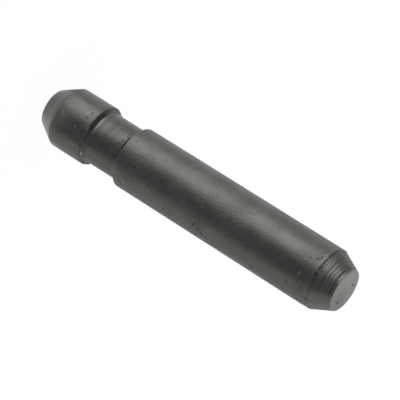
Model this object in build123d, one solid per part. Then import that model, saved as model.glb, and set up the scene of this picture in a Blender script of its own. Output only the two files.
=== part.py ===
from build123d import *
from math import radians, tan
import os

# A bucket tooth pin: a round steel bar, turned to a lead cone at each end, with one
# retainer groove near the end that it stands on. +Z runs along the bar, and the origin
# is the centre of the flat face at the grooved end. Lengths are in millimetres, and
# angles are in degrees.

# The bar
BODY_DIAMETER = 20.0
TOTAL_LENGTH = 112.0

# The grooved end: a lead cone, then a land as wide as the bar. The head length runs
# from the end face to the groove.
HEAD_LENGTH = 18.3
HEAD_CONE_LENGTH = 6.2
HEAD_CONE_ANGLE = 30.9
HEAD_CONE_SHOULDER_RADIUS = 1.2
HEAD_FACE_EDGE_RADIUS = 0.3

# The retainer groove. Its wall on the head side leans back, as the turning tool leaves
# it, and its two outer edges are rounded so that the retainer can spring over them.
GROOVE_WIDTH = 13.3
GROOVE_DEPTH = 1.43
GROOVE_WALL_RELIEF_ANGLE = 40.0
GROOVE_EDGE_RADIUS = 0.35
GROOVE_FLOOR_RADIUS = 0.2

# The plain end: a longer lead cone, started by a narrow step where the tool cut in
TAIL_CONE_LENGTH = 6.5
TAIL_CONE_ANGLE = 25.6
TAIL_STEP_DEPTH = 0.11
TAIL_FACE_EDGE_RADIUS = 0.3

# A rounded corner takes up at most this share of the wall that it ends
CORNER_SHARE_OF_WALL = 0.48

body_radius = BODY_DIAMETER / 2
floor_radius = body_radius - GROOVE_DEPTH
groove_top = HEAD_LENGTH + GROOVE_WIDTH
tail_cone_start = TOTAL_LENGTH - TAIL_CONE_LENGTH
wall_relief = GROOVE_DEPTH * tan(radians(GROOVE_WALL_RELIEF_ANGLE))
groove_edge_radius = min(GROOVE_EDGE_RADIUS, CORNER_SHARE_OF_WALL * GROOVE_DEPTH)
groove_floor_radius = min(GROOVE_FLOOR_RADIUS, CORNER_SHARE_OF_WALL * GROOVE_DEPTH)


def cone_drop(length, angle):
    """How far a lead cone brings the surface in towards the axis."""
    return length * tan(radians(angle))


head_face_radius = body_radius - cone_drop(HEAD_CONE_LENGTH, HEAD_CONE_ANGLE)
tail_step_radius = body_radius - TAIL_STEP_DEPTH
tail_face_radius = tail_step_radius - cone_drop(TAIL_CONE_LENGTH, TAIL_CONE_ANGLE)

# Each corner of the half outline, from the standing face up: its distance from the
# axis, its height, and the radius that rounds it
corners = [
    (head_face_radius, 0, HEAD_FACE_EDGE_RADIUS),
    (body_radius, HEAD_CONE_LENGTH, HEAD_CONE_SHOULDER_RADIUS),
    (body_radius, HEAD_LENGTH, groove_edge_radius),
    (floor_radius, HEAD_LENGTH + wall_relief, groove_floor_radius),
    (floor_radius, groove_top, groove_floor_radius),
    (body_radius, groove_top, groove_edge_radius),
    (body_radius, tail_cone_start, 0),
    (tail_step_radius, tail_cone_start, 0),
    (tail_face_radius, TOTAL_LENGTH, TAIL_FACE_EDGE_RADIUS),
]


def tooth_pin():
    """The whole pin, turned about its axis in one piece."""
    foot = (0, 0)
    crown = (0, TOTAL_LENGTH)
    outline = [(reach, height) for reach, height, _ in corners]
    roundings = [rounding for _, _, rounding in corners]
    with BuildPart() as pin:
        with BuildSketch(Plane.XZ):
            with BuildLine():
                FilletPolyline(foot, *outline, crown, radius=roundings)
                Line(crown, foot)
            make_face()
        revolve(axis=Axis.Z)
    return pin.part


os.makedirs("parts", exist_ok=True)
export_step(tooth_pin(), "parts/tooth_pin.step")
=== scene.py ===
# %% [markdown]
# # A bucket tooth pin in blackened steel
#
# This lesson dresses a turned steel pin, the kind that holds a digging tooth on its
# adapter. The pin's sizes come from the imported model, the frame. Lengths are in metres,
# in the frame's own axes: the pin stands on its grooved end at the origin, and +Z runs
# up its axis. The steps are the outline, the tool marks, the lathe, the knocks of use,
# the finish, the studio and the camera.

# %% Load the frame
from math import cos, exp, hypot, pi, radians, sin, tan
from random import Random

import bpy
import numpy as np
from mathutils import Matrix, Vector


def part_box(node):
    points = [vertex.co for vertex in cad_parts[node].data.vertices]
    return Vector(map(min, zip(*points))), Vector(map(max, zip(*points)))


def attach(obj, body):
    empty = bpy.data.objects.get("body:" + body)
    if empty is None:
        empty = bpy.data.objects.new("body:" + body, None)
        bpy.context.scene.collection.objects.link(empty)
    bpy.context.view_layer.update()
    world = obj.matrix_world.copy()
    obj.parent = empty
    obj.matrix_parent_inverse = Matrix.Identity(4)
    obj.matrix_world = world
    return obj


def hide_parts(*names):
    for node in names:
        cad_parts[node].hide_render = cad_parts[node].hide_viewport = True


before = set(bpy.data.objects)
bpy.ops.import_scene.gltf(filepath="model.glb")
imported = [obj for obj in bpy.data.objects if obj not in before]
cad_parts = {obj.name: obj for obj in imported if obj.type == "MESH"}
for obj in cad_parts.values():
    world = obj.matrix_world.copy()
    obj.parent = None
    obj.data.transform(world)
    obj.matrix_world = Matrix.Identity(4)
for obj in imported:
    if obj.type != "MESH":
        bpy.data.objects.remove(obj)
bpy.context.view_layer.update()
scene = bpy.context.scene
MM = 0.001
node_low, node_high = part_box("tooth_pin")
# The frame's facets fall about 0.01 mm short of the true circle along Y, so the least side
# is the one that keeps the pin inside them
bar_radius = min(node_high.x, node_high.y, -node_low.x, -node_low.y)
pin_length = node_high.z
print(f"pin: {2 * bar_radius / MM:.2f} mm across, {pin_length / MM:.2f} mm long")

# %% [markdown]
# ## Two helpers
#
# Colours are easiest to name as the hex values of a paint chart, but shaders reckon in
# linear light, so one function turns the first into the second. The other function adds
# a node to a tree, sets it up and wires its inputs, so that a node is one statement. It
# takes a node as well as a socket for an input, and then wires the node's first output.


# %% Helpers for colours and nodes
def linear(hex_colour):
    """An sRGB colour such as #808080, as linear red, green and blue, and full alpha."""
    shares = [int(hex_colour[i : i + 2], 16) / 255 for i in (1, 3, 5)]
    light = [c / 12.92 if c <= 0.04045 else ((c + 0.055) / 1.055) ** 2.4 for c in shares]
    return (*light, 1.0)


def add_node(tree, kind, inputs=None, **settings):
    """Adds a node, sets its properties, and fills its inputs with values or links."""
    node = tree.nodes.new(kind)
    for name, value in settings.items():
        setattr(node, name, value)
    for name, value in (inputs or {}).items():
        if isinstance(value, bpy.types.Node):
            value = value.outputs[0]
        if isinstance(value, bpy.types.NodeSocket):
            tree.links.new(value, node.inputs[name])
        else:
            node.inputs[name].default_value = value
    return node


print("mid grey #808080 in linear light:", round(linear("#808080")[0], 3))

# %% [markdown]
# ## The outline that the lathe tool follows
#
# A turned part is one outline carried round an axis. The outline could be drawn by hand
# as a curve, but its corners are known sizes, so it is worked out here: a list of
# corners, each with the radius that rounds it. The runs between them are divided finely
# where the tool and the hammer left marks that the eye can see, and coarsely on the
# smooth body, so the faces go where they show. The body's shoulder at the groove is
# drawn rounder than it was turned, because the retainer rides over it.

# %% Corners of the half outline
HEAD_LENGTH = 18.3 * MM
HEAD_CONE_LENGTH = 6.2 * MM
HEAD_CONE_ANGLE = radians(30.9)
HEAD_CONE_SHOULDER_RADIUS = 1.2 * MM
HEAD_FACE_EDGE_RADIUS = 0.3 * MM
GROOVE_WIDTH = 13.3 * MM
GROOVE_DEPTH = 1.43 * MM
GROOVE_WALL_RELIEF = radians(40.0)
GROOVE_EDGE_RADIUS = 0.35 * MM
WORN_SHOULDER_RADIUS = 0.65 * MM
GROOVE_FLOOR_RADIUS = 0.2 * MM
TAIL_CONE_LENGTH = 6.5 * MM
TAIL_CONE_ANGLE = radians(25.6)
TAIL_STEP_DEPTH = 0.11 * MM
TAIL_STEP_RADIUS = 0.05 * MM
TAIL_FACE_EDGE_RADIUS = 0.3 * MM
BODY_STEP = 1.2 * MM
LAND_STEP = 0.25 * MM
CONE_STEP = 0.16 * MM
MARKED_STEP = 0.11 * MM
# The stretches of the body that nicks are pressed into, in millimetres up the axis
NICKED_STRETCHES = [(32.8, 37.0), (61.5, 74.0), (84.0, 86.5), (96.5, 105.0)]

groove_floor = bar_radius - GROOVE_DEPTH
groove_foot = HEAD_LENGTH + GROOVE_DEPTH * tan(GROOVE_WALL_RELIEF)
groove_top = HEAD_LENGTH + GROOVE_WIDTH
tail_cone_start = pin_length - TAIL_CONE_LENGTH
tail_step_radius = bar_radius - TAIL_STEP_DEPTH
head_face_radius = bar_radius - HEAD_CONE_LENGTH * tan(HEAD_CONE_ANGLE)
tail_face_radius = tail_step_radius - TAIL_CONE_LENGTH * tan(TAIL_CONE_ANGLE)

nicked = []
for start, end in NICKED_STRETCHES:
    nicked.append((bar_radius, start * MM, 0.0, BODY_STEP))
    nicked.append((bar_radius, end * MM, 0.0, LAND_STEP))
# Each row: distance from the axis, height, rounding, and the step of the run that ends there
corners = [
    (0.0, 0.0, 0.0, LAND_STEP),
    (head_face_radius, 0.0, HEAD_FACE_EDGE_RADIUS, BODY_STEP),
    (bar_radius, HEAD_CONE_LENGTH, HEAD_CONE_SHOULDER_RADIUS, CONE_STEP),
    (bar_radius, HEAD_LENGTH, GROOVE_EDGE_RADIUS, LAND_STEP),
    (groove_floor, groove_foot, GROOVE_FLOOR_RADIUS, MARKED_STEP),
    (groove_floor, groove_top, GROOVE_FLOOR_RADIUS, MARKED_STEP),
    (bar_radius, groove_top, WORN_SHOULDER_RADIUS, MARKED_STEP),
    *nicked,
    (bar_radius, tail_cone_start, TAIL_STEP_RADIUS, LAND_STEP),
    (tail_step_radius, tail_cone_start, TAIL_STEP_RADIUS, MARKED_STEP),
    (tail_face_radius, pin_length, TAIL_FACE_EDGE_RADIUS, MARKED_STEP),
    (0.0, pin_length, 0.0, LAND_STEP),
]
print("outline corners:", len(corners))

# %% Round the corners and divide the runs
ARC_STEPS = 6


def rounded_corner(before, corner, after, radius):
    """Points along the arc that rounds a corner."""
    towards_before = (before - corner).normalized()
    towards_after = (after - corner).normalized()
    half_angle = towards_before.angle(towards_after) / 2
    setback = radius / tan(half_angle)
    middle = (towards_before + towards_after).normalized()
    centre = corner + middle * radius / sin(half_angle)
    first = (corner + towards_before * setback - centre).normalized()
    last = (corner + towards_after * setback - centre).normalized()
    return [centre + first.slerp(last, step / ARC_STEPS) * radius for step in range(ARC_STEPS + 1)]


def divided_run(start, end, step):
    """Points between two ends of a straight run, about a step apart."""
    pieces = max(1, round((end - start).length / step))
    return [start.lerp(end, i / pieces) for i in range(1, pieces)]


places = [Vector((reach, height)) for reach, height, _, _ in corners]
outline = [places[0]]
for i in range(1, len(places)):
    rounding, step = corners[i][2:]
    bend = [places[i]]
    if rounding:
        bend = rounded_corner(*places[i - 1 : i + 2], rounding)
    outline += divided_run(outline[-1], bend[0], step) + bend
outline = [Vector((max(p.x, 0.0), min(max(p.y, 0.0), pin_length))) for p in outline]
print("outline points:", len(outline))

# %% Check the outline against the frame
# The widest gap is at the worn shoulder
TENTH_OF_A_MICRON = 7


def distance_to_outline(points):
    """The shortest distance from each of many points of the section to the outline."""
    starts = np.array(outline[:-1])
    runs = np.array(outline[1:]) - starts
    away = points[:, None] - starts
    share = (away * runs).sum(axis=2) / (runs**2).sum(axis=1)
    nearest = starts + runs * np.clip(share, 0, 1)[..., None]
    return np.linalg.norm(points[:, None] - nearest, axis=2).min(axis=1)


frame_vertices = [vertex.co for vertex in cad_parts["tooth_pin"].data.vertices]
frame_points = {(round(hypot(co.x, co.y), TENTH_OF_A_MICRON), co.z) for co in frame_vertices}
worst = distance_to_outline(np.array(sorted(frame_points))).max()
print(f"{len(frame_points)} points of the frame lie within {worst / MM:.3f} mm of the outline")

# %% [markdown]
# ## Tool marks, worn edges, and painted light and shade
#
# A lathe tool leaves one fine ring for each turn of the work, a feed apart, and no two
# are quite alike, because the tool chatters. The pin shows them in the retainer groove
# and, coarser, on the long lead cone, and black scale stays in the deeper ones, darkened
# further with painted shade. They could be a bump in the finish, but the coarse ones break
# up the light along the edge, so they are cut into the outline. Each point of the outline
# gets three numbers that the lathe carries round the pin: how deep the marks cut there,
# how black the scale and painted shade leave it, and how far the oxide is rubbed off or
# painted lighter. Marks only cut inwards, so the pin never outgrows the frame.

# %% List the deep tool marks
# Each mark: its height, the half width of its valley, its depth, and its blackness from 0 to 1, black scale
# and painted shade together.
# The first is painted shade on the groove's leaning wall, and cuts nothing.
marks_and_painted_shade = [
    (18.95 * MM, 0.42 * MM, 0.000 * MM, 0.48),
    (30.80 * MM, 0.22 * MM, 0.025 * MM, 0.20),
    (105.22 * MM, 0.24 * MM, 0.080 * MM, 0.50),
    (105.68 * MM, 0.24 * MM, 0.090 * MM, 0.50),
    (106.40 * MM, 0.11 * MM, 0.035 * MM, 0.35),
    (107.05 * MM, 0.09 * MM, 0.010 * MM, 0.15),
    (107.88 * MM, 0.13 * MM, 0.045 * MM, 0.50),
    (108.97 * MM, 0.12 * MM, 0.040 * MM, 0.45),
    (109.82 * MM, 0.10 * MM, 0.025 * MM, 0.35),
    (110.88 * MM, 0.18 * MM, 0.070 * MM, 0.60),
]
print("deep tool marks:", len(marks_and_painted_shade))

# %% Add the fine marks that the feed leaves
MARK_HALF_WIDTH = 0.11 * MM
FEED_JITTER = 0.12 * MM
GROOVE_FEED = 0.6 * MM
GROOVE_MARK_DEPTHS = (0.012 * MM, 0.034 * MM)
# The blackness of the feed marks is black scale and painted shade together.
GROOVE_MARK_BLACKNESS = (0.2, 0.7)
HEAD_CONE_FEED = 0.7 * MM
HEAD_CONE_MARK_DEPTHS = (0.004 * MM, 0.012 * MM)
HEAD_CONE_MARK_BLACKNESS = (0.0, 0.1)
FEED_SEED = 7
chatter = Random(FEED_SEED)


def feed_marks(low, high, feed, depths, blackness):
    """The marks of a tool that moves one feed along the work at each turn."""
    found = []
    height = low + feed / 2
    while height < high:
        place = height + chatter.uniform(-FEED_JITTER, FEED_JITTER)
        found.append((place, MARK_HALF_WIDTH, chatter.uniform(*depths), chatter.uniform(*blackness)))
        height += feed
    return found


groove_run = (groove_foot + MM, groove_top - MM, GROOVE_FEED)
cone_run = (HEAD_FACE_EDGE_RADIUS, HEAD_CONE_LENGTH - HEAD_CONE_SHOULDER_RADIUS, HEAD_CONE_FEED)
marks_and_painted_shade += feed_marks(*groove_run, GROOVE_MARK_DEPTHS, GROOVE_MARK_BLACKNESS)
marks_and_painted_shade += feed_marks(*cone_run, HEAD_CONE_MARK_DEPTHS, HEAD_CONE_MARK_BLACKNESS)
print(f"{len(marks_and_painted_shade)} tool marks, the deepest {max(mark[2] for mark in marks_and_painted_shade) / MM:.3f} mm")

# %% List the worn edges and the painted light
# Each band: its height, the half width of the band, and how bare it leaves the steel, from 0 to 1. Two
# bands carry painted light
worn_and_lit_bands = [
    (4.15 * MM, 0.45 * MM, 0.08),
    # This band at the groove's foot is a painted highlight.
    (groove_foot + 0.35 * MM, 0.30 * MM, 0.13),
    (groove_top + 0.15 * MM, 0.20 * MM, 0.05),
    (tail_cone_start - 0.75 * MM, 0.30 * MM, 0.05),
    # The plain end's face is lighter all over, partly rubbed and partly painted light.
    (pin_length, 0.25 * MM, 0.46),
]


def summed(bands, height):
    """The bands added up at one height, each with a smooth bell shape."""
    return sum(strength * exp(-(((height - middle) / half) ** 2)) for middle, half, strength in bands)


carried = {
    "cut": [summed([(height, half, depth) for height, half, depth, _ in marks_and_painted_shade], p.y) for p in outline],
    "black": [summed([(height, half, black) for height, half, _, black in marks_and_painted_shade], p.y) for p in outline],
    "worn_and_lit": [summed(worn_and_lit_bands, p.y) for p in outline],
}
print({name: round(max(values), 5) for name, values in carried.items()})

# %% [markdown]
# ## The lathe
#
# The Screw modifier and the Spin tool both make turned shapes. A Geometry Nodes tree is
# chosen here because the lathe can then cut its marks as well. It lays a grid of
# points, one row for each point of the outline, bends each row round the axis, and
# presses it inwards by the marks. A bar that runs slightly out of true meets the tool more
# on one side than on the other, so the marks are deepest on one side of it, and noise
# makes them uneven there.

# %% Name the lathe's inputs
lathe = bpy.data.node_groups.new("turn_on_the_lathe", "GeometryNodeTree")
lathe_inputs = {
    "Outline": "NodeSocketGeometry",
    "Segments": "NodeSocketInt",
    "Deep side": "NodeSocketFloat",
    "Chatter scale": "NodeSocketFloat",
    "Chatter seed": "NodeSocketFloat",
    "Finish": "NodeSocketMaterial",
}
for name, kind in lathe_inputs.items():
    lathe.interface.new_socket(name, in_out="INPUT", socket_type=kind)
lathe.interface.new_socket("Pin", in_out="OUTPUT", socket_type="NodeSocketGeometry")
given = add_node(lathe, "NodeGroupInput").outputs
print("inputs of the lathe:", ", ".join(lathe_inputs))

# %% Lay the grid, and number its rows and columns
# The rows go round clockwise, seen from above, so that the faces point outwards. Half a
# point is added before the division, so that rounding can't move a point to another row.
HALF_A_POINT = 0.5
FULL_TURN = -2 * pi

counts = add_node(lathe, "GeometryNodeAttributeDomainSize", {"Geometry": given["Outline"]}).outputs
columns = add_node(lathe, "ShaderNodeMath", {0: given["Segments"], 1: 1.0}, operation="ADD")
grid = add_node(lathe, "GeometryNodeMeshGrid", {"Vertices X": counts["Point Count"], "Vertices Y": columns})
index = add_node(lathe, "GeometryNodeInputIndex")
half_on = add_node(lathe, "ShaderNodeMath", {0: index, 1: HALF_A_POINT}, operation="ADD")
rows_on = add_node(lathe, "ShaderNodeMath", {0: half_on, 1: columns}, operation="DIVIDE")
row = add_node(lathe, "ShaderNodeMath", {0: rows_on}, operation="FLOOR")
before = add_node(lathe, "ShaderNodeMath", {0: row, 1: columns}, operation="MULTIPLY")
column = add_node(lathe, "ShaderNodeMath", {0: index, 1: before}, operation="SUBTRACT")
turns = add_node(lathe, "ShaderNodeMath", {0: column, 1: given["Segments"]}, operation="DIVIDE")
angle = add_node(lathe, "ShaderNodeMath", {0: turns, 1: FULL_TURN}, operation="MULTIPLY")
print("nodes so far:", len(lathe.nodes))

# %% Read each row's point and numbers from the outline
position = add_node(lathe, "GeometryNodeInputPosition")
row_place = {"Geometry": given["Outline"], "Value": position, "Index": row}
row_place = add_node(lathe, "GeometryNodeSampleIndex", row_place, data_type="FLOAT_VECTOR")
place = add_node(lathe, "ShaderNodeSeparateXYZ", {0: row_place}).outputs
numbers = {}
for name in carried:
    attribute = add_node(lathe, "GeometryNodeInputNamedAttribute", {"Name": name}, data_type="FLOAT")
    reading = {"Geometry": given["Outline"], "Value": attribute, "Index": row}
    numbers[name] = add_node(lathe, "GeometryNodeSampleIndex", reading, data_type="FLOAT")
print("numbers that the outline carries:", ", ".join(numbers))

# %% Make the marks deeper on one side of the bar, and uneven
NOISE_UNITS_PER_METRE = 500.0
CHATTER_DETAIL = 3.0
CHATTER_GAIN = 5.0
RUN_OUT_GAIN = 4.0
RUN_OUT_OFFSET = -5.1
LEAST_STRENGTH = 0.12
MOST_STRENGTH = 1.6

height = add_node(lathe, "ShaderNodeMath", {0: place["Z"], 1: NOISE_UNITS_PER_METRE}, operation="MULTIPLY")
ahead = add_node(lathe, "ShaderNodeCombineXYZ", {"X": 1.0, "Z": height})
aside = {"Vector": ahead, "Angle": angle}
aside = add_node(lathe, "ShaderNodeVectorRotate", aside, rotation_type="Z_AXIS")
chatter_noise = {
    "Vector": aside,
    "W": given["Chatter seed"],
    "Scale": given["Chatter scale"],
    "Detail": CHATTER_DETAIL,
}
chatter_noise = add_node(lathe, "ShaderNodeTexNoise", chatter_noise, noise_dimensions="4D")
uneven = {0: chatter_noise, 1: CHATTER_GAIN, 2: RUN_OUT_OFFSET}
uneven = add_node(lathe, "ShaderNodeMath", uneven, operation="MULTIPLY_ADD")
off_side = add_node(lathe, "ShaderNodeMath", {0: angle, 1: given["Deep side"]}, operation="SUBTRACT")
facing = add_node(lathe, "ShaderNodeMath", {0: off_side}, operation="COSINE")
strength = {0: facing, 1: RUN_OUT_GAIN, 2: uneven}
strength = add_node(lathe, "ShaderNodeMath", strength, operation="MULTIPLY_ADD")
strength = {"Value": strength, "Min": LEAST_STRENGTH, "Max": MOST_STRENGTH}
strength = add_node(lathe, "ShaderNodeClamp", strength)
# The blackness, black scale and painted shade together, is weighed like the cut, so both are strongest on
# the deep side.
for name in ("cut", "black"):
    weighed = {0: numbers[name], 1: strength}
    numbers[name] = add_node(lathe, "ShaderNodeMath", weighed, operation="MULTIPLY")
print("nodes so far:", len(lathe.nodes))

# %% Bend the rows round the axis, and close the seam and the two ends
SEAM_GAP = 1e-6

radius = add_node(lathe, "ShaderNodeMath", {0: place["X"], 1: numbers["cut"]}, operation="SUBTRACT")
radius = add_node(lathe, "ShaderNodeMath", {0: radius, 1: 0.0}, operation="MAXIMUM")
section = add_node(lathe, "ShaderNodeCombineXYZ", {"X": radius, "Z": place["Z"]})
turned = {"Vector": section, "Angle": angle}
turned = add_node(lathe, "ShaderNodeVectorRotate", turned, rotation_type="Z_AXIS")
pin = grid
for name, number in numbers.items():
    stored = {"Geometry": pin, "Name": name, "Value": number}
    pin = add_node(lathe, "GeometryNodeStoreNamedAttribute", stored, data_type="FLOAT")
pin = add_node(lathe, "GeometryNodeSetPosition", {"Geometry": pin, "Position": turned})
pin = add_node(lathe, "GeometryNodeMergeByDistance", {"Geometry": pin, "Distance": SEAM_GAP})
pin = add_node(lathe, "GeometryNodeSetShadeSmooth", {"Geometry": pin})
pin = add_node(lathe, "GeometryNodeRealizeInstances", {"Geometry": pin})
pin = add_node(lathe, "GeometryNodeSetMaterial", {"Geometry": pin, "Material": given["Finish"]})
add_node(lathe, "NodeGroupOutput", {"Pin": pin})
print("nodes of the lathe:", len(lathe.nodes))

# %% Turn the pin
steel = bpy.data.materials.new("blackened_steel")
outline_mesh = bpy.data.meshes.new("outline")
outline_mesh.from_pydata([(p.x, 0.0, p.y) for p in outline], [], [])
for name, values in carried.items():
    outline_mesh.attributes.new(name, "FLOAT", "POINT").data.foreach_set("value", values)
blank = bpy.data.objects.new("outline", outline_mesh)
scene.collection.objects.link(blank)
turning = blank.modifiers.new("lathe", "NODES")
turning.node_group = lathe
settings = {
    "Segments": 176,
    "Deep side": radians(-109),
    "Chatter scale": 5.0,
    "Chatter seed": 3.0,
    "Finish": steel,
}
for socket in lathe.interface.items_tree:
    if socket.name in settings:
        turning[socket.identifier] = settings[socket.name]
pin_mesh = bpy.data.meshes.new_from_object(blank.evaluated_get(bpy.context.evaluated_depsgraph_get()))
bpy.data.objects.remove(blank)
triangles = sum(len(face.vertices) - 2 for face in pin_mesh.polygons)
volume = sum(face.center.dot(face.normal) * face.area for face in pin_mesh.polygons) / 3
print(f"pin: {triangles} triangles, {volume / MM**3:.0f} cubic mm (above zero, it faces outwards)")

# %% [markdown]
# ## Knocks from use, and painted light and shade
#
# The head's edge beside the groove is bruised where the retainer and the hammer meet
# it, and on the far side the groove's wall is pushed up into a low burr. One side of the
# long cone's shoulder is beaten back, the plain end's face has small pits, and the lands
# have nicks and a scratch, some filled with dirt and some rubbed bright. Some rows are
# no knocks but painted light and shade: painted shade in lines along the groove's corner
# by the body, painted shade that takes the groove foot's painted highlight off its shaded
# side, and painted light and painted shade on the two sides of the plain end's face. A
# boolean cut would leave edges that are too sharp, so each knock moves the nearby points
# of the mesh along their normals, most along its middle line and less towards its rim.

# %% List the knocks
# Each knock: the azimuth, height and distance from the axis of its two ends, its half width,
# its depth, how black it is, and how bare, which in some rows is painted light. Azimuth 0
# faces the camera, and 90 faces -X. A depth below zero raises a burr, which lies too low on
# the groove's wall to pass the bar's own radius. A depth of zero changes the tone alone, and
# a bareness below zero darkens it, in the pits and as painted shade.
knocks_and_painted_light = [
    ((-72, 18.6, 10.0), (-84, 18.8, 9.9), 1.00, 0.35, 0.10, 0.00),
    ((-84, 18.9, 9.7), (-104, 18.8, 9.7), 0.80, 0.40, 0.00, 0.00),
    ((-104, 18.8, 9.7), (-124, 18.8, 9.7), 0.80, 0.40, 0.00, 0.00),
    ((94, 19.6, 8.8), (110, 19.6, 8.8), 0.75, -0.35, 0.00, 0.00),
    ((110, 19.6, 8.8), (126, 19.6, 8.8), 0.75, -0.35, 0.00, 0.00),
    ((-80, 105.0, 10.0), (-99, 105.0, 10.0), 0.80, 0.25, 0.00, 0.00),
    ((-12, 18.6, 9.9), (-30, 18.6, 9.9), 0.60, 0.12, 0.00, 0.00),
    ((-30, 18.6, 9.9), (-48, 18.6, 9.9), 0.60, 0.12, 0.00, 0.00),
    ((-48, 18.6, 9.9), (-66, 18.6, 9.9), 0.60, 0.14, 0.00, 0.02),
    # These three are painted shade that takes the groove foot's painted highlight off its shaded side.
    ((-8, 19.9, 8.6), (-28, 19.9, 8.6), 0.60, 0.00, 0.00, -0.13),
    ((-28, 19.9, 8.6), (-48, 19.9, 8.6), 0.60, 0.00, 0.00, -0.13),
    ((-48, 19.9, 8.6), (-68, 19.9, 8.6), 0.60, 0.00, 0.00, -0.13),
    ((-53, 18.9, 9.5), (-54, 18.9, 9.5), 0.32, 0.05, 0.00, 1.00),
    ((2, 8.2, 10.0), (-3, 9.3, 10.0), 0.18, 0.04, 0.00, 0.45),
    ((-8, 14.3, 10.0), (-8, 14.3, 10.0), 0.22, 0.04, 0.00, 0.90),
    ((26, 15.4, 10.0), (26, 15.4, 10.0), 0.22, 0.05, 0.00, 0.40),
    ((13, 15.9, 10.0), (15, 15.9, 10.0), 0.35, 0.10, 0.60, 0.00),
    ((26, 16.4, 10.0), (28, 16.4, 10.0), 0.35, 0.08, 0.50, 0.00),
    ((1, 18.3, 10.0), (1, 18.5, 10.0), 0.25, 0.04, 0.00, 0.50),
    # These five make dark lines near the groove's corner by the body. They cut a little, and their darkness
    # is painted shade of the corner, with one faintly lighter strip.
    ((4, 30.9, 8.6), (17, 30.8, 8.6), 0.32, 0.04, 0.80, 0.00),
    ((17, 30.8, 8.6), (30, 30.7, 8.6), 0.26, 0.05, 0.80, 0.00),
    ((14, 29.7, 8.6), (19, 29.5, 8.6), 0.26, 0.05, 0.60, 0.00),
    ((20, 29.6, 8.6), (26, 29.4, 8.6), 0.50, 0.00, 0.00, 0.08),
    ((6, 29.4, 8.6), (10, 29.3, 8.6), 0.24, 0.04, 0.50, 0.00),
    ((16, 101.3, 10.0), (16, 101.3, 10.0), 0.35, 0.09, 0.60, 0.00),
    ((20, 103.1, 10.0), (22, 103.3, 10.0), 0.40, 0.12, 0.70, 0.00),
    ((24, 104.0, 10.0), (30, 103.9, 10.0), 0.40, 0.11, 0.55, 0.00),
    ((-14, 100.7, 10.0), (-17, 100.9, 10.0), 0.25, 0.04, 0.00, 0.50),
    ((0, 63.1, 10.0), (-9, 64.3, 10.0), 0.25, 0.03, 0.00, 0.10),
    ((-52, 34.6, 10.0), (-60, 35.4, 10.0), 0.40, 0.16, 0.35, 0.00),
    ((-50, 35.4, 10.0), (-56, 36.0, 10.0), 0.25, 0.02, 0.00, 0.20),
    ((-44, 63.4, 10.0), (-50, 63.0, 10.0), 0.27, 0.08, 0.75, 0.00),
    ((-48, 64.6, 10.0), (-53, 65.0, 10.0), 0.27, 0.08, 0.75, 0.00),
    ((-54, 65.9, 10.0), (-58, 66.7, 10.0), 0.28, 0.10, 0.85, 0.00),
    ((-58, 67.9, 10.0), (-61, 68.6, 10.0), 0.28, 0.10, 0.80, 0.00),
    ((-63, 70.0, 10.0), (-64, 70.2, 10.0), 0.30, 0.08, 0.75, 0.00),
    ((-64, 72.2, 10.0), (-69, 71.8, 10.0), 0.30, 0.12, 0.80, 0.00),
    ((-58, 85.0, 10.0), (-64, 85.6, 10.0), 0.34, 0.10, 0.70, 0.00),
    ((-40, 97.4, 10.0), (-46, 98.2, 10.0), 0.38, 0.08, 0.50, 0.00),
    ((-36, 103.0, 10.0), (-39, 103.2, 10.0), 0.40, 0.06, 0.45, 0.00),
    ((-52, 104.9, 10.0), (-54, 105.7, 10.0), 0.38, 0.10, 0.55, 0.00),
    ((-66, 102.2, 10.0), (-69, 102.6, 10.0), 0.36, 0.06, 0.45, 0.00),
    # These two are painted light on one side of the plain end's face and painted shade on the other.
    ((90, 112.0, 3.5), (90, 112.0, 3.5), 4.00, 0.00, 0.00, 0.12),
    ((-90, 112.0, 3.5), (-90, 112.0, 3.5), 4.00, 0.00, 0.00, -0.20),
    ((-89, 112.0, 3.98), (-89, 112.0, 3.98), 0.42, 0.14, 1.40, -0.40),
    ((-124.4, 112.0, 3.1), (-124.4, 112.0, 3.1), 0.36, 0.10, 1.20, -0.30),
    ((138.5, 112.0, 4.06), (138.5, 112.0, 4.06), 0.38, 0.12, 1.20, -0.30),
]
print("knocks:", len(knocks_and_painted_light))


# %% Work the knocks into the mesh
SHORTEST_KNOCK = 0.001 * MM


def around_the_bar(azimuth, height, reach):
    """A point at an azimuth in radians, where 0 faces the camera and 90 degrees faces -X."""
    return Vector((-sin(azimuth) * reach, -cos(azimuth) * reach, height))


def mesh_numbers(elements, name, width):
    """One number or vector of each element of a mesh, as an array."""
    flat = np.empty(len(elements) * width)
    elements.foreach_get(name, flat)
    return flat.reshape(-1, width)


points = mesh_numbers(pin_mesh.vertices, "co", 3)
normals = mesh_numbers(pin_mesh.vertices, "normal", 3)
pressed = np.zeros(len(points))
black = mesh_numbers(pin_mesh.attributes["black"].data, "value", 1)[:, 0]
worn_and_lit = mesh_numbers(pin_mesh.attributes["worn_and_lit"].data, "value", 1)[:, 0]
for start, end, half_width, depth, how_black, how_bare_and_lit in knocks_and_painted_light:
    first, last = (np.array(around_the_bar(radians(a), h * MM, r * MM)) for a, h, r in (start, end))
    line = last - first
    share = np.clip((points - first) @ line / max(line @ line, SHORTEST_KNOCK**2), 0, 1)
    distance = np.linalg.norm(points - first - share[:, None] * line, axis=1)
    nearness = np.exp(-((distance / (half_width * MM)) ** 2))
    pressed += nearness * depth * MM
    black += nearness * how_black
    worn_and_lit += nearness * how_bare_and_lit
points -= normals * pressed[:, None]
points[:, 2] = np.clip(points[:, 2], 0, pin_length)
pin_mesh.vertices.foreach_set("co", points.ravel())
pin_mesh.attributes["black"].data.foreach_set("value", np.clip(black, 0, 1))
pin_mesh.attributes["worn_and_lit"].data.foreach_set("value", np.clip(worn_and_lit, 0, 1))
pin_mesh.update()
print(f"the deepest knock presses the mesh in by {pressed.max() / MM:.2f} mm")

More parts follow.
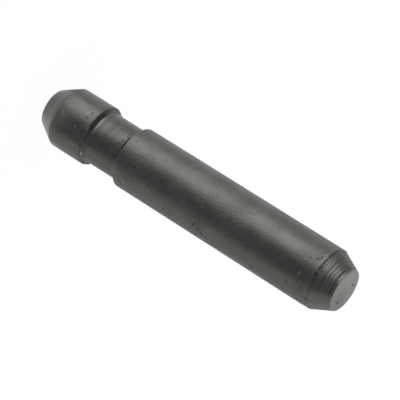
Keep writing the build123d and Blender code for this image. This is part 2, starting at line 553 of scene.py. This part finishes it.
# %% Hand the pin to the frame
pin = bpy.data.objects.new("turned_tooth_pin", pin_mesh)
scene.collection.objects.link(pin)
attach(pin, "root")
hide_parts("tooth_pin")
print("handed over:", pin.name)

# %% [markdown]
# ## The finish: blackened steel
#
# The pin is hardened steel, blackened in hot oil or salts. The black oxide is thin: it
# darkens the steel but leaves it a metal, with the satin sheen of the turned surface
# under it. Paint would hide the metal under a second, glossy layer, so the finish is
# one metallic shader, and its dark colour is the oxide's. Fine grain breaks up the edge
# of each reflection and keeps specks of black scale in its hollows, a slow cloud shifts
# the tone from place to place, a few pits hold scale, and the numbers that the lathe and
# the knocks left say where it is black with scale and painted shade, and where it is bare
# or painted lighter.

# %% Grain and pits
# The grain of the oxide is about 0.05 mm wide, far finer than a pixel of the render, so it
# is drawn several times as coarse, and longer round the bar than along it.
GRAIN_SIZE = 0.5
GRAIN_DETAIL = 3.0
GRAIN_ROUGHNESS = 0.6
GRAIN_HEIGHT = 0.18 * MM
GRAIN_STRETCH = 1.2
PATCH_SIZE = 11.0
PATCH_DETAIL = 2.0
PATCH_FROM = 0.38
PATCH_TO = 0.62
LEAST_GRAIN = 0.15
PIT_SPACING = 4.5
PIT_SIZE = 0.36
PIT_DEPTH = 0.6
SMOOTH_WHEN_WORN = 0.24
GRAIN_WHEN_WORN = 0.3
HOLLOW_FROM = 0.5
HOLLOW_TO = 0.3
SPECKLE_BLACKNESS = 0.4

steel.use_nodes = True
tree = steel.node_tree
tree.nodes.clear()
object_place = add_node(tree, "ShaderNodeTexCoord").outputs["Object"]
in_mm = add_node(tree, "ShaderNodeVectorMath", {0: object_place, "Scale": 1 / MM}, operation="SCALE")
stretched = add_node(tree, "ShaderNodeMapping", {"Vector": in_mm, "Scale": (1.0, 1.0, GRAIN_STRETCH)})
grain = {
    "Vector": stretched,
    "Scale": 1 / GRAIN_SIZE,
    "Detail": GRAIN_DETAIL,
    "Roughness": GRAIN_ROUGHNESS,
}
grain = add_node(tree, "ShaderNodeTexNoise", grain)
to_pit = add_node(tree, "ShaderNodeTexVoronoi", {"Vector": in_mm, "Scale": 1 / PIT_SPACING})
pit = {"Value": to_pit, "From Min": PIT_SIZE / PIT_SPACING, "From Max": 0.0}
pit = add_node(tree, "ShaderNodeMapRange", pit)
bumps = {0: pit, 1: -PIT_DEPTH, 2: grain}
bumps = add_node(tree, "ShaderNodeMath", bumps, operation="MULTIPLY_ADD")
# This attribute holds rubbed wear and painted light.
rubbed_and_lit = add_node(tree, "ShaderNodeAttribute", attribute_name="worn_and_lit").outputs["Fac"]
patch = {"Vector": in_mm, "Scale": 1 / PATCH_SIZE, "Detail": PATCH_DETAIL}
patch = add_node(tree, "ShaderNodeTexNoise", patch)
patch = {"Value": patch, "From Min": PATCH_FROM, "From Max": PATCH_TO, "To Min": LEAST_GRAIN}
patch = add_node(tree, "ShaderNodeMapRange", patch)
hollow = {"Value": grain, "From Min": HOLLOW_FROM, "From Max": HOLLOW_TO, "To Max": SPECKLE_BLACKNESS}
hollow = add_node(tree, "ShaderNodeMapRange", hollow)
speckle = add_node(tree, "ShaderNodeMath", {0: hollow, 1: patch}, operation="MULTIPLY")
left = {"Value": rubbed_and_lit, "From Max": SMOOTH_WHEN_WORN, "To Min": 1.0, "To Max": GRAIN_WHEN_WORN}
left = add_node(tree, "ShaderNodeMapRange", left)
left = add_node(tree, "ShaderNodeMath", {0: left, 1: patch}, operation="MULTIPLY")
bump = {"Height": bumps, "Strength": left, "Distance": GRAIN_HEIGHT}
bump = add_node(tree, "ShaderNodeBump", bump)
print(f"grain {GRAIN_SIZE} mm, pits {PIT_SIZE} mm")

# %% Colours of the oxide, the bare steel and painted light, and the scale and painted shade
CLOUD_SIZE = 6.0
CLOUD_DETAIL = 3.0
OXIDE_DARK = "#4d4f4a"
OXIDE_LIGHT = "#666864"
BARE_STEEL_AND_LIGHT = "#b4b4b0"
SCALE_AND_SHADE_BLACK = "#232321"

cloud = {"Vector": in_mm, "Scale": 1 / CLOUD_SIZE, "Detail": CLOUD_DETAIL}
cloud = add_node(tree, "ShaderNodeTexNoise", cloud)
oxide = {"Factor": cloud, "A": linear(OXIDE_DARK), "B": linear(OXIDE_LIGHT)}
oxide = add_node(tree, "ShaderNodeMix", oxide, data_type="RGBA").outputs["Result"]
bare_and_lit = {"Factor": rubbed_and_lit, "A": oxide, "B": linear(BARE_STEEL_AND_LIGHT)}
bare_and_lit = add_node(tree, "ShaderNodeMix", bare_and_lit, data_type="RGBA").outputs["Result"]
# Black scale and painted shade, with the speckle in the grain's hollows and the pits.
scale_and_shade = add_node(tree, "ShaderNodeAttribute", attribute_name="black").outputs["Fac"]
scale_and_shade = add_node(tree, "ShaderNodeMath", {0: scale_and_shade, 1: speckle}, operation="ADD")
scale_and_shade = add_node(tree, "ShaderNodeMath", {0: scale_and_shade, 1: pit}, operation="ADD", use_clamp=True)
colour = {"Factor": scale_and_shade, "A": bare_and_lit, "B": linear(SCALE_AND_SHADE_BLACK)}
colour = add_node(tree, "ShaderNodeMix", colour, data_type="RGBA").outputs["Result"]
print("oxide from", OXIDE_DARK, "to", OXIDE_LIGHT)

# %% Satin metal
SATIN_ROUGHNESS = 0.34

finish = {"Base Color": colour, "Metallic": 1.0, "Roughness": SATIN_ROUGHNESS, "Normal": bump}
finish = add_node(tree, "ShaderNodeBsdfPrincipled", finish)
add_node(tree, "ShaderNodeOutputMaterial", {"Surface": finish})
print("nodes of the finish:", len(tree.nodes))

# %% [markdown]
# ## The studio
#
# The pin stands on white paper under a white sky, so it is lit evenly from all round
# and throws next to no shadow. A white sheet under lamps would turn grey here and there,
# so the paper shows part of its white as plain colour, but only to the camera and to
# rays that metal or glass sends on.

# %% White paper
FLOOR_SIDE = 12.0
PLAIN_WHITE_SHARE = 0.96

paper = bpy.data.materials.new("white_paper")
paper.use_nodes = True
tree = paper.node_tree
tree.nodes.clear()
ray = add_node(tree, "ShaderNodeLightPath").outputs
seen = {0: ray["Is Camera Ray"], 1: ray["Is Glossy Ray"]}
seen = add_node(tree, "ShaderNodeMath", seen, operation="MAXIMUM")
seen = add_node(tree, "ShaderNodeMath", {0: seen, 1: ray["Is Transmission Ray"]}, operation="MAXIMUM")
share = add_node(tree, "ShaderNodeMath", {0: seen, 1: PLAIN_WHITE_SHARE}, operation="MULTIPLY")
matt = add_node(tree, "ShaderNodeBsdfDiffuse", {"Color": linear("#ffffff")})
plain = add_node(tree, "ShaderNodeEmission", {"Color": linear("#ffffff")})
white = add_node(tree, "ShaderNodeMixShader", {0: share, 1: matt, 2: plain})
add_node(tree, "ShaderNodeOutputMaterial", {"Surface": white})

half = FLOOR_SIDE / 2
floor_corners = [(-half, -half, 0), (half, -half, 0), (half, half, 0), (-half, half, 0)]
floor_mesh = bpy.data.meshes.new("floor")
floor_mesh.from_pydata(floor_corners, [], [(0, 1, 2, 3)])
floor_mesh.materials.append(paper)
floor = bpy.data.objects.new("floor", floor_mesh)
scene.collection.objects.link(floor)
print(f"floor: {FLOOR_SIDE} m wide")

# %% White sky
world = bpy.data.worlds.new("white_studio")
world.use_nodes = True
scene.world = world
world.node_tree.nodes.clear()
sky = add_node(world.node_tree, "ShaderNodeBackground", {"Color": linear("#ffffff"), "Strength": 1.0})
add_node(world.node_tree, "ShaderNodeOutputWorld", {"Surface": sky})
print("sky: white")

# %% [markdown]
# ## Cards that the metal mirrors
#
# A metal shows what is round it, and under plain white it would look flat. A product
# photographer stands dark and bright cards round it, and the metal mirrors them as the
# long bands that make a bar look round. Here each card is swept round the pin, and is
# hidden from the camera, so only the metal shows it.

# %% Cards round the pin
CARD_NEAR = 22 * MM
CARD_FAR = 1500 * MM
CARD_TOP = 950 * MM
CARD_LIFT = 0.2 * MM
CARD_STEP = radians(5)
FOOT_NEAR = 6.5 * MM
FOOT_FAR = 14 * MM
floor_and_wall = [(CARD_LIFT, CARD_NEAR), (CARD_LIFT, CARD_FAR), (CARD_TOP, CARD_FAR)]
overhead = [(CARD_TOP, 0.0), (CARD_TOP, CARD_FAR)]
at_the_foot = [(CARD_LIFT, FOOT_NEAR), (CARD_LIFT, FOOT_FAR)]
# Each card: where it starts and ends in degrees, its brightness, where 1 is white paper, and
# the line of heights and distances from the axis that it is swept from
cards = {
    "dark_card": (-62.0, 10.0, 0.34, floor_and_wall),
    "grey_card": (-95.0, -62.0, 0.90, floor_and_wall[:2]),
    "side_card": (-122.0, -95.0, 0.82, floor_and_wall[:2]),
    "far_side_card": (-150.0, -122.0, 0.64, floor_and_wall[:2]),
    "bright_card": (25.8, 67.7, 2.27, floor_and_wall[:2]),
    "bright_wall": (25.8, 67.7, 2.90, floor_and_wall[1:]),
    "grey_wall": (67.7, 130.0, 0.75, floor_and_wall[1:]),
    "back_card": (150.0, 210.0, 0.5, floor_and_wall[:2]),
    "back_wall": (150.0, 210.0, 0.66, floor_and_wall[1:]),
    "dark_ceiling": (-150.0, 150.0, 0.42, overhead),
    "bright_foot": (-115.0, -35.0, 1.22, at_the_foot),
    "grey_foot": (75.0, 150.0, 0.45, at_the_foot),
}
for name, (start, end, brightness, line) in cards.items():
    pieces = round(radians(end - start) / CARD_STEP)
    angles = [radians(start + (end - start) * i / pieces) for i in range(pieces + 1)]
    corner_points = [around_the_bar(angle, height, reach) for angle in angles for height, reach in line]
    across = len(line)
    firsts = [i * across + j for i in range(pieces) for j in range(across - 1)]
    faces = [(first, first + 1, first + 1 + across, first + across) for first in firsts]
    mesh = bpy.data.meshes.new(name)
    mesh.from_pydata(corner_points, [], faces)
    surface = bpy.data.materials.new(name)
    surface.use_nodes = True
    surface.node_tree.nodes.clear()
    glow = {"Color": linear("#ffffff"), "Strength": brightness}
    glow = add_node(surface.node_tree, "ShaderNodeEmission", glow)
    add_node(surface.node_tree, "ShaderNodeOutputMaterial", {"Surface": glow})
    mesh.materials.append(surface)
    card = bpy.data.objects.new(name, mesh)
    card.visible_camera = False
    card.visible_diffuse = False
    card.visible_shadow = False
    scene.collection.objects.link(card)
print("cards:", ", ".join(cards))

# %% [markdown]
# ## The camera
#
# The camera looks down on the pin at a fair slant with a long lens, so the bar hardly
# narrows with distance, and it is rolled so that the pin lies across the picture. The
# pin itself stays upright, and only the camera turns.

# %% Camera
CAMERA_ELEVATION = radians(24.4)
CAMERA_ROLL = radians(122.25)
CAMERA_DISTANCE = 746.2 * MM
CAMERA_LENS = 226.0
AIM = Vector((0.137, -0.834, 58.16)) * MM

forward = Vector((0, cos(CAMERA_ELEVATION), -sin(CAMERA_ELEVATION)))
level = Vector((1, 0, 0))
upward = level.cross(forward)
right = level * cos(CAMERA_ROLL) + upward * sin(CAMERA_ROLL)
above = upward * cos(CAMERA_ROLL) - level * sin(CAMERA_ROLL)
lens = bpy.data.cameras.new("camera")
lens.lens = CAMERA_LENS
camera = bpy.data.objects.new("camera", lens)
turn = Matrix((right, above, -forward)).transposed().to_4x4()
camera.matrix_world = Matrix.Translation(AIM - forward * CAMERA_DISTANCE) @ turn
scene.collection.objects.link(camera)
scene.camera = camera
scene.view_settings.view_transform = "Standard"
print(f"camera: {CAMERA_DISTANCE / MM:.0f} mm from the pin")
